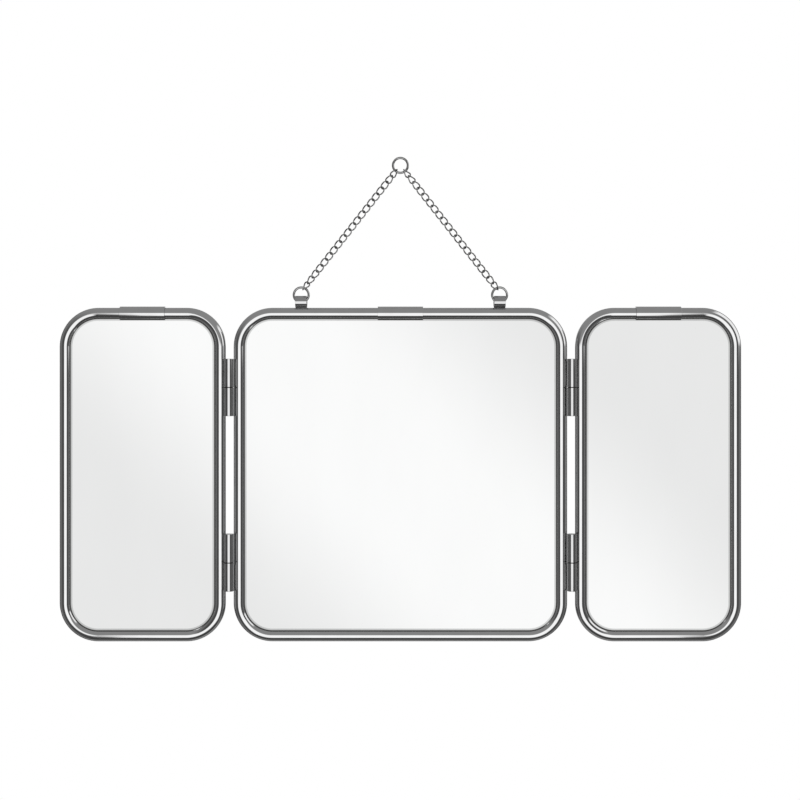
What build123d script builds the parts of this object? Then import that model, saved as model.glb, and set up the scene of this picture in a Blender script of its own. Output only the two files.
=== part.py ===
from build123d import *
from math import atan2, copysign, cos, degrees, hypot, pi, radians, sin, sqrt
import os

# Trifold wall mirror: a centre mirror and two wings half as wide, each a pane in a rolled
# tube frame, joined by pin hinges and hung from one ring by two chains.
# The front faces -Y, +X is to the right and +Z is up. The origin is the nail's contact at
# the top inside of the apex ring. All sizes are in millimetres.

# Panels
panel_height = 240.0
centre_width = 240.0
closed_gap = 1.0  # between the two wings when both are folded shut
panel_gap = 5.6  # between the tubes of two neighbouring panels

# Rolled frame tube and the sleeve over its butt joint
tube_diameter = 8.2
tube_wall = 0.7
corner_radius = 28.0  # outside of the bend
butt_gap = 0.3
sleeve_wall = 0.8
sleeve_length = 32.5
sleeve_fit = 0.1  # radial, over the tube
sleeve_slot_margin = 0.4  # each side, wider than the tube's slot

# Pane and backing in the tube's slot
glass_thickness = 2.0
board_thickness = 1.5
stack_clearance = 0.1
pane_inset = 1.0  # from the tube's centre line to the edge of the pane
bevel_show = 1.4  # ground edge that shows beside the tube
bevel_depth = 0.5

# Barrel hinges
hinge_spacing = 125.2  # between the upper and the lower hinge of one side
knuckle_length = 20.3
knuckle_split = 0.3
knuckle_clearance = 0.7  # between a knuckle and the nearest tube
fold_clearance = 0.3  # sleeve to tube when a wing is shut
pin_diameter = 3.0
pin_engagement = 16.0  # length of the pin inside each knuckle
pin_end_room = 0.5
running_clearance = 0.05
braze_width = 3.6
braze_end = 1.5  # the braze stops this far from each end of its knuckle
braze_gap = 0.1

# Hanger loops on the top tube
loop_spacing = 142.8
loop_length = 8.2
loop_diameter = 8.5
loop_strip = 0.6
loop_seat = 0.1
leg_slit = 0.2
leg_slot_clearance = 0.1
leg_depth = 2.0  # of the clinched feet below the tube's top
foot_reach = 1.0

# Rings and chains
ring_bore = 9.0
ring_wire = 1.7
ring_seat = 0.2  # between an end ring and the rims of its loop
hook_gap = 0.1  # between a link and the ring that it hooks on
hook_angle = 18.0  # from the top of an end ring, towards the middle
link_pitch = 5.44
link_count = 20
link_width = 5.2  # before its twist, which draws it in
link_wire = 1.0
link_gap = 0.08  # between two links where they bear
link_twist = 45.0  # of each end out of the link's middle plane
link_lean = 15.0  # more for each of the last links, as the chain turns onto a ring
leaning_links = 3
link_joint = 0.1  # between the wire's two ends, in the middle of one side

# Round work is drawn with flats: corners in a full turn, and flats round a section
tube_facets = 12
frame_bends = 28
knuckle_facets = 16
loop_facets = 16
ring_facets = 8
ring_bends = 20
link_facets = 6
link_bends = 8

# Worked out from the sizes above
tube_r = tube_diameter / 2
bend_r = corner_radius - tube_r
wing_width = (centre_width - closed_gap) / 2
slot_width = glass_thickness + board_thickness + 3 * stack_clearance
sleeve_bore_r = tube_r + sleeve_fit
sleeve_r = sleeve_bore_r + sleeve_wall
hinge_x = (centre_width + panel_gap) / 2
hinge_y = -(sleeve_r + tube_r + fold_clearance) / 2
hinge_reach = hypot(tube_r + panel_gap / 2, hinge_y)
knuckle_r = hinge_reach - tube_r - knuckle_clearance
wing_x = hinge_x + (panel_gap + wing_width) / 2
ring_bore_r = ring_bore / 2
ring_mid_r = ring_bore_r + ring_wire / 2
loop_r = loop_diameter / 2
loop_x = loop_spacing / 2
loop_bore_r = loop_r - loop_strip
hook_r = ring_bore_r - hook_gap - link_wire / 2
link_half = (link_pitch + link_gap + link_wire) / 2  # middle to bar, along the chain
link_half_width = (link_width - link_wire) / 2

# Heights, from the hanging point down
apex_z = -ring_bore_r
chain_span = link_count * link_pitch + link_wire + link_gap
hook_x = loop_x - hook_r * sin(radians(hook_angle))
hook_z = apex_z - sqrt((chain_span + hook_r) ** 2 - hook_x**2)
end_ring_z = hook_z - hook_r * cos(radians(hook_angle))
ring_rise = loop_bore_r + sqrt((ring_bore_r - ring_seat) ** 2 - (loop_length / 2) ** 2)
loop_z = end_ring_z - ring_rise
panel_top = loop_z - loop_r - loop_seat
panel_z = panel_top - panel_height / 2
tube_top_z = panel_top - tube_r

PANELS = {"centre": (0.0, centre_width), "left": (-wing_x, wing_width), "right": (wing_x, wing_width)}
SIDES = {"left": -1, "right": 1}

os.makedirs("parts", exist_ok=True)


def save(part, name):
    """Label one finished piece and write it under its node's name."""
    part.label = name
    export_step(part, f"parts/{name}.step")


def bend_corners(half_x, half_z, radius, bends):
    """Mitre corners of a run that is tangent to a rounded rectangle, from its top middle."""
    corner_r = radius / cos(pi / bends)
    turns = [(index + 0.5 + bends / 4) * 2 * pi / bends for index in range(bends)]
    return [
        (
            copysign(half_x - radius, cos(turn)) + corner_r * cos(turn),
            copysign(half_z - radius, sin(turn)) + corner_r * sin(turn),
        )
        for turn in turns
    ]


def frame_tube(x_mid, width, loops):
    """A slotted tube bent to a rounded rectangle, its ends butted at the top middle."""
    x_side = width / 2 - tube_r
    z_side = panel_height / 2 - tube_r
    corners = bend_corners(x_side, z_side, bend_r, frame_bends)
    start = Plane(origin=(x_mid - butt_gap / 2, 0, tube_top_z), x_dir=(0, 1, 0), z_dir=(-1, 0, 0))
    with BuildPart() as tube:
        with BuildLine(Plane(origin=(x_mid, 0, panel_z), x_dir=(1, 0, 0), z_dir=(0, -1, 0))) as route:
            Polyline((-butt_gap / 2, z_side), *corners, (butt_gap / 2, z_side))
        with BuildSketch(start):
            RegularPolygon(tube_r, tube_facets)
            RegularPolygon(tube_r - tube_wall, tube_facets, mode=Mode.SUBTRACT)
            with Locations((0, tube_r)):
                Rectangle(slot_width, tube_diameter, mode=Mode.SUBTRACT)
        sweep(path=route.line, transition=Transition.RIGHT)
        for x in loops:
            with Locations((x, 0, panel_top)):
                Box(
                    loop_length + 2 * leg_slot_clearance,
                    2 * loop_strip + leg_slit + 2 * leg_slot_clearance,
                    tube_diameter / 2,
                    mode=Mode.SUBTRACT,
                )
    return tube.part


def joint_sleeve(x_mid):
    """A short open sleeve, rolled over the tube's butt joint."""
    with BuildPart() as sleeve:
        middle = Plane(origin=(x_mid, 0, tube_top_z), x_dir=(0, 1, 0), z_dir=(1, 0, 0))
        with BuildSketch(middle):
            RegularPolygon(sleeve_r, tube_facets)
            RegularPolygon(sleeve_bore_r, tube_facets, mode=Mode.SUBTRACT)
            with Locations((0, -sleeve_r)):
                Rectangle(slot_width + 2 * sleeve_slot_margin, 2 * sleeve_r, mode=Mode.SUBTRACT)
        extrude(amount=sleeve_length / 2, both=True)
    return sleeve.part


def pane(x_mid, width, y_back, thickness, bevelled):
    """A flat sheet with rounded corners, seated in the slot all round."""
    inset = tube_r + pane_inset
    with BuildPart() as sheet:
        with BuildSketch(Plane(origin=(x_mid, y_back, panel_z), x_dir=(1, 0, 0), z_dir=(0, -1, 0))):
            RectangleRounded(width - 2 * inset, panel_height - 2 * inset, corner_radius - inset)
        extrude(amount=thickness)
        if bevelled:
            front = sheet.faces().sort_by(Axis.Y)[0]
            chamfer(
                front.outer_wire().edges(),
                length=tube_r - pane_inset + bevel_show,
                length2=bevel_depth,
                reference=front,
            )
    return sheet.part


def knuckle(side, z_low, bore_from_top, on_wing):
    """One half of a barrel hinge: a blind-bored barrel, brazed to its own tube."""
    axis_x = side * hinge_x
    outward = side if on_wing else -side
    tube_x = axis_x + outward * (panel_gap / 2 + tube_r)
    lean = degrees(atan2(-hinge_y, tube_x - axis_x))
    with BuildPart() as half:
        with BuildSketch(Plane.XY.offset(z_low)):
            with Locations((axis_x, hinge_y)):
                RegularPolygon(knuckle_r, knuckle_facets)
        extrude(amount=knuckle_length)
        with BuildSketch(Plane.XY.offset(z_low + braze_end)):
            with Locations(Location((axis_x, hinge_y, 0), (0, 0, lean))):
                Rectangle(hinge_reach, braze_width, align=(Align.MIN, Align.CENTER))
            with Locations((tube_x, 0)):
                RegularPolygon(tube_r + braze_gap, tube_facets, mode=Mode.SUBTRACT)
        extrude(amount=knuckle_length - 2 * braze_end)
        depth = pin_engagement + pin_end_room
        mouth = z_low + knuckle_length - depth if bore_from_top else z_low
        with BuildSketch(Plane.XY.offset(mouth)):
            with Locations((axis_x, hinge_y)):
                Circle(pin_diameter / 2 + running_clearance)
        extrude(amount=depth, mode=Mode.SUBTRACT)
    return half.part


def hinge_pin(side, z_split):
    """The plain pin inside both knuckles of one hinge."""
    with BuildPart() as pin:
        with BuildSketch(Plane.XY.offset(z_split - pin_engagement)):
            with Locations((side * hinge_x, hinge_y)):
                Circle(pin_diameter / 2)
        extrude(amount=2 * pin_engagement)
    return pin.part


def hanger_loop(x_mid):
    """A strip rolled to a barrel, its two legs clinched inside the top tube."""
    leg_x = loop_strip + leg_slit / 2
    feet_z = panel_top - leg_depth - loop_z
    with BuildPart() as loop:
        with BuildSketch(Plane(origin=(x_mid, 0, loop_z), x_dir=(0, 1, 0), z_dir=(1, 0, 0))):
            RegularPolygon(loop_r, loop_facets)
            with Locations((0, feet_z)):
                Rectangle(2 * leg_x, -feet_z, align=(Align.CENTER, Align.MIN))
                Rectangle(2 * (leg_x + foot_reach), loop_strip, align=(Align.CENTER, Align.MIN))
            RegularPolygon(loop_bore_r, loop_facets, mode=Mode.SUBTRACT)
            with Locations((0, feet_z)):
                Rectangle(leg_slit, -feet_z, align=(Align.CENTER, Align.MIN), mode=Mode.SUBTRACT)
        extrude(amount=loop_length / 2, both=True)
    return loop.part


def ring(x_mid, z_mid):
    """A closed ring of wire, standing in the plane of the mirror."""
    corners = bend_corners(ring_mid_r, ring_mid_r, ring_mid_r, ring_bends)
    top = Plane(origin=(x_mid, 0, z_mid + ring_mid_r), x_dir=(0, 1, 0), z_dir=(-1, 0, 0))
    with BuildPart() as hoop:
        with BuildLine(Plane(origin=(x_mid, 0, z_mid), x_dir=(1, 0, 0), z_dir=(0, -1, 0))) as route:
            Polyline((0, ring_mid_r), *corners, close=True)
        with BuildSketch(top):
            RegularPolygon(ring_wire / 2, ring_facets)
        sweep(path=route.line, transition=Transition.RIGHT)
    return hoop.part


def chain_link():
    """One link lying along X with its middle at the origin: an oval with its ends twisted apart."""
    corners = []
    for along, across in bend_corners(link_half, link_half_width, link_half_width, link_bends):
        twist = radians(link_twist) * along / link_half
        corners.append(Vector(along, across * cos(twist), across * sin(twist)))
    joint = (corners[0] + corners[-1]) / 2
    wire_end = (corners[0] - joint).normalized() * link_joint / 2
    with BuildPart() as link:
        with BuildLine() as route:
            Polyline(joint + wire_end, *corners, joint - wire_end)
        with BuildSketch(Plane(origin=joint + wire_end, x_dir=(0, 1, 0), z_dir=wire_end)):
            RegularPolygon(link_wire / 2, link_facets)
        sweep(path=route.line, transition=Transition.RIGHT)
    return link.part


def chain(side):
    """A taut run of links from the apex ring to one end ring."""
    ahead = Vector(side * hook_x, 0, hook_z - apex_z).normalized()
    depth = Vector(0, -1, 0)
    across = depth.cross(ahead)
    places = []
    for index in range(link_count):
        turned = min(index - leaning_links, 0) + max(index + 1 + leaning_links - link_count, 0)
        lean = radians(link_lean * turned)
        middle = Vector(0, 0, apex_z) + ahead * (hook_r + link_half + index * link_pitch)
        places.append(Location(Plane(middle, x_dir=ahead, z_dir=depth * cos(lean) - across * sin(lean))))
    link = chain_link()
    with BuildPart() as links:
        with Locations(*places):
            add(link)
    return links.part


for name, (x_mid, width) in PANELS.items():
    loops = (-loop_x, loop_x) if name == "centre" else ()
    glass_back = -slot_width / 2 + stack_clearance + glass_thickness
    board_back = glass_back + stack_clearance + board_thickness
    save(frame_tube(x_mid, width, loops), f"{name}_frame_tube")
    save(joint_sleeve(x_mid), f"{name}_joint_sleeve")
    save(pane(x_mid, width, glass_back, glass_thickness, True), f"{name}_mirror_glass")
    save(pane(x_mid, width, board_back, board_thickness, False), f"{name}_backing_board")

for side_name, side in SIDES.items():
    for level, z_split in (("upper", panel_z + hinge_spacing / 2), ("lower", panel_z - hinge_spacing / 2)):
        for on_top in (True, False):
            # The wing's knuckles lie between the centre frame's, so a wing can't lift off.
            on_wing = on_top == (level == "lower")
            z_low = z_split + knuckle_split / 2 if on_top else z_split - knuckle_split / 2 - knuckle_length
            owner = "wing" if on_wing else "frame"
            save(knuckle(side, z_low, not on_top, on_wing), f"{side_name}_{level}_{owner}_knuckle")
        save(hinge_pin(side, z_split), f"{side_name}_{level}_hinge_pin")
    save(hanger_loop(side * loop_x), f"{side_name}_hanger_loop")
    save(ring(side * loop_x, end_ring_z), f"{side_name}_end_ring")
    save(chain(side), f"{side_name}_chain")

save(ring(0, apex_z), "apex_ring")
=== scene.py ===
"""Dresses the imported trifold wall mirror: smooth rolled tubes, silvered panes, hinges and chains."""

import logging
import math
from dataclasses import dataclass, field
from enum import Enum

import bmesh
import bpy
from mathutils import Matrix, Vector

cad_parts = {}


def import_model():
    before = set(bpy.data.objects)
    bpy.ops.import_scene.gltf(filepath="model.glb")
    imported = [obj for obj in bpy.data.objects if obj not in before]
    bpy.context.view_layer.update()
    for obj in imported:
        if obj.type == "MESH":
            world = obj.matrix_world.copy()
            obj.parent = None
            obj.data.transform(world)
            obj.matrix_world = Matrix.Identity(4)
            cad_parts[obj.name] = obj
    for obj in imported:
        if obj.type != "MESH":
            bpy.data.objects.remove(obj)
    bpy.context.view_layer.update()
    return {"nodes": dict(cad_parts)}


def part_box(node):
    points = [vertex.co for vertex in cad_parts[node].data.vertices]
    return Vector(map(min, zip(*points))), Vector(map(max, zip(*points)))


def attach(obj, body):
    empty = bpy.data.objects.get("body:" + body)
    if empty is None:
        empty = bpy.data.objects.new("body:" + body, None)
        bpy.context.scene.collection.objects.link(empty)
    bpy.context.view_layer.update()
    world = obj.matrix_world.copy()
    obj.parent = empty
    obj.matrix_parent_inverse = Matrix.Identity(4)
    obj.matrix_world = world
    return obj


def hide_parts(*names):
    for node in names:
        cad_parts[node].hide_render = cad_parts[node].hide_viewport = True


MM = 0.001
# Mesh attribute that marks painted shade on the pane's border along the tube.
PAINTED_EDGE_SHADE = "painted_edge_shade"
LOG = logging.getLogger("trifold_mirror")
Triple = tuple[float, float, float]
Colour = Triple
Stops = tuple[tuple[float, float], ...]
Socket = bpy.types.NodeSocket
BMesh = bmesh.types.BMesh

X_AXIS, Y_AXIS, Z_AXIS = (Vector(unit).freeze() for unit in ((1, 0, 0), (0, 1, 0), (0, 0, 1)))
WHITE = (1.0, 1.0, 1.0, 1.0)
NOISE_LOW, NOISE_HIGH = 0.3, 0.7
RIM_ANGLE = math.radians(60)
CREASE_ANGLE = math.radians(32)


class Slot(Enum):
    """The material slots of the pieces."""

    CHROME_FRAME = "chrome_frame"
    CHROME_FITTINGS = "chrome_fittings"
    CHROME_WIRE = "chrome_wire"
    PIN_STEEL = "pin_steel"
    SILVERED_GLASS = "silvered_glass"
    BACKING_BOARD = "backing_board"


class Panel(Enum):
    """The three framed panes and the CAD body that each rides on."""

    CENTRE = "centre"
    LEFT = "left"
    RIGHT = "right"

    @property
    def body(self) -> str:
        """The CAD body of this panel."""
        return "centre_panel" if self is Panel.CENTRE else f"{self.value}_wing"


class Side(Enum):
    """The two sides of the mirror, with the sign of their X."""

    LEFT = -1
    RIGHT = 1

    @property
    def label(self) -> str:
        """The side's word in node names."""
        return self.name.lower()


class Wiring:
    """Adds nodes to a tree and joins their sockets."""

    def __init__(self, tree: bpy.types.NodeTree) -> None:
        """Starts on an emptied tree."""
        self.tree = tree
        tree.nodes.clear()

    def add(self, kind: str, settings: dict | None = None, **inputs: object) -> bpy.types.Node:
        """Adds one node.

        Args:
            kind: the node's type, without the ShaderNode that it starts with.
            settings: properties of the node itself.
            inputs: a value or an output socket for each input, by name with _ for a space,
                or by number as i0, i1 and so on.

        Returns:
            The new node.
        """
        node = self.tree.nodes.new(f"ShaderNode{kind}")
        for key, value in (settings or {}).items():
            setattr(node, key, value)
        for key, value in inputs.items():
            number = key[1:]
            socket = node.inputs[int(number) if number.isdigit() else key.replace("_", " ")]
            if isinstance(value, Socket):
                self.tree.links.new(value, socket)
            else:
                socket.default_value = value
        return node

    def math(self, operation: str, *terms: object) -> Socket:
        """Adds a Math node and returns its output."""
        inputs = {f"i{index}": term for index, term in enumerate(terms)}
        return self.add("Math", {"operation": operation}, **inputs).outputs[0]

    def length(self, first: Socket, second: Socket) -> Socket:
        """Gives the length of two parts at right angles, taken together."""
        squares = [self.math("MULTIPLY", part, part) for part in (first, second)]
        return self.math("SQRT", self.math("ADD", *squares))

    def mix(self, share: Socket, first: Socket | Colour, second: Socket | Colour) -> Socket:
        """Mixes two colours by the second one's share."""
        ends = [(*end, 1.0) if isinstance(end, tuple) else end for end in (first, second)]
        return self.add("Mix", {"data_type": "RGBA"}, i0=share, i6=ends[0], i7=ends[1]).outputs[2]

    def ramp(self, factor: Socket, stops: Stops, ease: str = "LINEAR") -> Socket:
        """Adds a grey ramp.

        Args:
            factor: what the ramp is read at.
            stops: pairs of place and grey.
            ease: the ramp's interpolation.

        Returns:
            The ramp's colour output.
        """
        node = self.add("ValToRGB", Fac=factor)
        node.color_ramp.interpolation = ease
        elements = node.color_ramp.elements
        while len(elements) < len(stops):
            elements.new(1.0)
        for element, (place, grey) in zip(elements, stops):
            element.position = place
            element.color = (grey, grey, grey, 1.0)
        return node.outputs["Color"]

    def place(self) -> Socket:
        """Gives the object's own coordinates."""
        return self.add("TexCoord").outputs["Object"]

    def noise(self, scale: float, detail: float, stretch: Triple = (1.0, 1.0, 1.0)) -> Socket:
        """Adds a noise over the object's own coordinates.

        Args:
            scale: how many features there are in a metre.
            detail: octaves of the noise.
            stretch: how the coordinates are scaled first.

        Returns:
            The noise's factor output.
        """
        mapped = self.add("Mapping", Vector=self.place(), Scale=stretch).outputs["Vector"]
        return self.add("TexNoise", Vector=mapped, Scale=scale, Detail=detail).outputs["Fac"]

    def spread(self, factor: Socket, low: float, high: float) -> Socket:
        """Maps the middle of a noise onto a range."""
        ends = {"i1": NOISE_LOW, "i2": NOISE_HIGH, "i3": low, "i4": high}
        return self.add("MapRange", i0=factor, **ends).outputs["Result"]

    def bump(self, strength: float, depth: float, height: Socket) -> Socket:
        """Adds a Bump node and returns its normal."""
        return self.add("Bump", Strength=strength, Distance=depth, Height=height).outputs["Normal"]

    def principled(self, **inputs: object) -> None:
        """Ends a material's tree in a Principled shader."""
        self.add("OutputMaterial", Surface=self.add("BsdfPrincipled", **inputs).outputs[0])


def new_material(name: str) -> tuple[bpy.types.Material, Wiring]:
    """Makes an empty node material.

    Args:
        name: the material's name.

    Returns:
        The material and the wiring of its tree.
    """
    material = bpy.data.materials.new(name)
    material.use_nodes = True
    return material, Wiring(material.node_tree)


@dataclass(frozen=True)
class PolishedChrome:
    """Bright plate on metal, with faint smears, fine polishing marks and a few pits."""

    name: str
    colour: Colour = (0.925, 0.928, 0.932)
    dulled: Colour = (0.88, 0.88, 0.88)
    clean: float = 0.03
    smeared: float = 0.08
    marks: float = 0.04
    mark_depth: float = 0.02 * MM
    smear_scale: float = 70.0
    mark_scale: float = 2600.0
    mark_share: float = 0.25
    pit_scale: float = 900.0
    pit_stops: Stops = ((0.0, 0.0), (0.27, 0.0), (0.31, 1.0))

    def material(self) -> bpy.types.Material:
        """Builds the material.

        Returns:
            The material.
        """
        material, wiring = new_material(self.name)
        smear = wiring.noise(self.smear_scale, detail=4.0)
        marks = wiring.math("MULTIPLY", wiring.noise(self.mark_scale, detail=2.0), self.mark_share)
        pits = wiring.ramp(wiring.noise(self.pit_scale, detail=1.0), self.pit_stops)
        wiring.principled(
            Base_Color=wiring.mix(wiring.spread(smear, 0.0, 1.0), self.colour, self.dulled),
            Metallic=1.0,
            Roughness=wiring.spread(smear, self.clean, self.smeared),
            Normal=wiring.bump(self.marks, self.mark_depth, wiring.math("ADD", marks, pits)),
        )
        return material


@dataclass(frozen=True)
class SilveredGlass:
    """The face of the pane: silver behind clear glass, wiped nearly clean."""

    name: str = "silvered_glass_face"
    colour: Colour = (0.966, 0.970, 0.968)
    veiled: Colour = (0.952, 0.956, 0.954)
    wipe_scale: float = 26.0
    wipe_stretch: Triple = (1.0, 1.0, 0.35)
    clear_haze: float = 0.004
    wiped_haze: float = 0.02
    dust_scale: float = 1500.0
    dust_stops: Stops = ((0.0, 1.0), (0.20, 1.0), (0.23, 0.0))
    dust_haze: float = 0.25

    def material(self) -> bpy.types.Material:
        """Builds the material.

        Returns:
            The material.
        """
        material, wiring = new_material(self.name)
        wiped = wiring.noise(self.wipe_scale, detail=5.0, stretch=self.wipe_stretch)
        dust = wiring.ramp(wiring.noise(self.dust_scale, detail=0.0), self.dust_stops)
        dusty = wiring.math("MULTIPLY", dust, self.dust_haze)
        haze = wiring.spread(wiped, self.clear_haze, self.wiped_haze)
        wiring.principled(
            Base_Color=wiring.mix(wiring.spread(wiped, 0.0, 1.0), self.colour, self.veiled),
            Metallic=1.0,
            Roughness=wiring.math("ADD", haze, dusty),
        )
        return material


@dataclass(frozen=True)
class GroundEdge:
    """The ground border of the pane, with painted shade along the tube and below the sleeves."""

    name: str = "ground_glass_edge"
    colour: Colour = (0.70, 0.706, 0.704)
    darker: Colour = (0.61, 0.616, 0.614)
    # Colour of the painted shade.
    painted_shade: Colour = (0.045, 0.043, 0.04)
    roughness: float = 0.12
    grain_scale: float = 1800.0
    grain: float = 0.15
    grain_depth: float = 0.03 * MM
    # Where painted shade lies below each sleeve's lip.
    sleeve_spacing: float = 185.35 * MM
    sleeve_half: float = 16.25 * MM
    lip_height: float = -115.59 * MM
    strip: float = 0.6 * MM
    solid_strip: float = 0.2 * MM

    def material(self) -> bpy.types.Material:
        """Builds the material.

        Returns:
            The material.
        """
        material, wiring = new_material(self.name)
        grinding = wiring.noise(self.grain_scale, detail=3.0)
        clean = wiring.mix(wiring.spread(grinding, 0.0, 1.0), self.colour, self.darker)
        # Painted shade along the tube and below each sleeve darkens the border.
        shade_along_tube = wiring.add("Attribute", {"attribute_name": PAINTED_EDGE_SHADE}).outputs["Fac"]
        dark = wiring.math("MAXIMUM", shade_along_tube, self.shade_below_sleeve(wiring))
        wiring.principled(
            Base_Color=wiring.mix(dark, clean, self.painted_shade),
            Metallic=1.0,
            Roughness=self.roughness,
            Normal=wiring.bump(self.grain, self.grain_depth, grinding),
        )
        return material

    def shade_below_sleeve(self, wiring: Wiring) -> Socket:
        """Finds the strip of each pane that lies along its sleeve, which covers more than the tube, for
        painted shade below the sleeve's lip.

        Args:
            wiring: the material's nodes.

        Returns:
            The strip, 1 at the sleeve's lip and 0 past the strip.
        """
        axes = wiring.add("SeparateXYZ", i0=wiring.place()).outputs
        from_middle = wiring.math("ABSOLUTE", axes["X"])
        from_wing = wiring.math("ABSOLUTE", wiring.math("SUBTRACT", from_middle, self.sleeve_spacing))
        nearest = wiring.math("MINIMUM", from_middle, from_wing)
        along = wiring.math("LESS_THAN", nearest, self.sleeve_half)
        low, high = self.lip_height - self.strip, self.lip_height - self.solid_strip
        fade = wiring.add("MapRange", i0=axes["Z"], i1=low, i2=high, i3=0.0, i4=1.0).outputs["Result"]
        return wiring.math("MULTIPLY", along, fade)


@dataclass(frozen=True)
class PressedBoard:
    """Brown pressed fibre board with matted fibres and fine dark flecks, a little uneven in colour."""

    name: str = "pressed_fibre_board"
    colour: Colour = (0.235, 0.150, 0.088)
    pale: Colour = (0.310, 0.210, 0.130)
    dark: Colour = (0.130, 0.082, 0.048)
    smoothest: float = 0.62
    roughest: float = 0.88
    cloud_scale: float = 9.0
    cloud_share: float = 0.45
    fibre_scale: float = 520.0
    fibre_share: float = 0.55
    fibre_stretch: Triple = (1.0, 1.0, 0.22)
    fibre_relief: float = 0.5
    fibre_depth: float = 0.12 * MM
    fleck_scale: float = 1100.0
    fleck_stretch: Triple = (0.3, 1.0, 1.0)
    fleck_stops: Stops = ((0.0, 0.8), (0.30, 0.8), (0.36, 0.0))

    def material(self) -> bpy.types.Material:
        """Builds the material.

        Returns:
            The material.
        """
        material, wiring = new_material(self.name)
        cloud = wiring.spread(wiring.noise(self.cloud_scale, detail=8.0), 0.0, self.cloud_share)
        fibre = wiring.noise(self.fibre_scale, detail=5.0, stretch=self.fibre_stretch)
        matted = wiring.math("ADD", cloud, wiring.spread(fibre, 0.0, self.fibre_share))
        fleck_noise = wiring.noise(self.fleck_scale, detail=2.0, stretch=self.fleck_stretch)
        flecks = wiring.ramp(fleck_noise, self.fleck_stops)
        wiring.principled(
            Base_Color=wiring.mix(flecks, wiring.mix(matted, self.colour, self.pale), self.dark),
            Roughness=wiring.spread(fibre, self.smoothest, self.roughest),
            Normal=wiring.bump(self.fibre_relief, self.fibre_depth, fibre),
        )
        return material


def grey(level: float) -> Colour:
    """Gives a grey of one level."""
    return (level, level, level)


class Finish(Enum):
    """The finishes of the mirror's surfaces."""

    TUBE_CHROME = PolishedChrome("chrome_tube")
    BARREL_CHROME = PolishedChrome(
        "chrome_barrel", (0.82, 0.82, 0.825), grey(0.76), clean=0.04, smeared=0.10, marks=0.06
    )
    # Painted shade on the barrels' flanks and backs; also the darker closed ends and brazes.
    TURNED_END = PolishedChrome(
        "turned_barrel_end", grey(0.34), grey(0.26), clean=0.18, smeared=0.3, marks=0.1
    )
    # Grease in the pin's bore, and painted shade on the mouth rims at the seam.
    GREASED_BORE = PolishedChrome(
        "greased_bore", (0.08, 0.075, 0.07), (0.04, 0.038, 0.035), clean=0.3, smeared=0.5, marks=0.1
    )
    # Painted shade under the hanger loops' rolls.
    DULL_PLATE = PolishedChrome("dull_plate", grey(0.46), grey(0.36), clean=0.2, smeared=0.32, marks=0.1)
    # Painted shade on the sleeves' lips beside their slots.
    TARNISHED_LIP = PolishedChrome(
        "tarnished_lip", (0.1, 0.097, 0.093), (0.06, 0.058, 0.055), clean=0.15, smeared=0.3, marks=0.1
    )
    RING_CHROME = PolishedChrome(
        "ring_chrome", grey(0.68), grey(0.60), clean=0.04, smeared=0.10, marks=0.05
    )
    LINK_NICKEL = PolishedChrome(
        "link_nickel", (0.50, 0.50, 0.495), (0.43, 0.43, 0.425), clean=0.05, smeared=0.12, marks=0.05
    )
    PIN_STEEL = PolishedChrome(
        "bright_pin_steel", (0.62, 0.61, 0.60), (0.50, 0.49, 0.48), clean=0.25, smeared=0.38, marks=0.1
    )
    GLASS = SilveredGlass()
    GROUND_EDGE = GroundEdge()
    BOARD = PressedBoard()


def mix_finishes() -> dict[Finish, bpy.types.Material]:
    """Makes the material of every finish."""
    return {finish: finish.value.material() for finish in Finish}


def middle_of(node: str) -> Vector:
    """Gives the middle of a CAD node's box."""
    low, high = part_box(node)
    return (low + high) / 2


def as_mesh(name: str, bm: BMesh) -> bpy.types.Mesh:
    """Turns a bmesh into a mesh.

    Args:
        name: the mesh's name.
        bm: the bmesh, which is used up.

    Returns:
        The mesh.
    """
    mesh = bpy.data.meshes.new(name)
    bm.to_mesh(mesh)
    bm.free()
    return mesh


def put_in_scene(name: str, data: bpy.types.ID) -> bpy.types.Object:
    """Puts a mesh, light or camera in the scene.

    Args:
        name: the name of its object.
        data: the mesh, light or camera.

    Returns:
        The object.
    """
    thing = bpy.data.objects.new(name, data)
    bpy.context.scene.collection.objects.link(thing)
    return thing


def spin_round(bm: BMesh, outline: list, middle: Vector, axis: Vector, steps: int) -> None:
    """Spins an outline through a full turn.

    Args:
        bm: the mesh that holds it.
        outline: its points and edges.
        middle: a point on the axis.
        axis: the axis' direction.
        steps: sections in the turn.
    """
    bmesh.ops.spin(
        bm, geom=outline, cent=middle, axis=axis, angle=2 * math.pi, steps=steps, use_merge=True
    )


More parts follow.
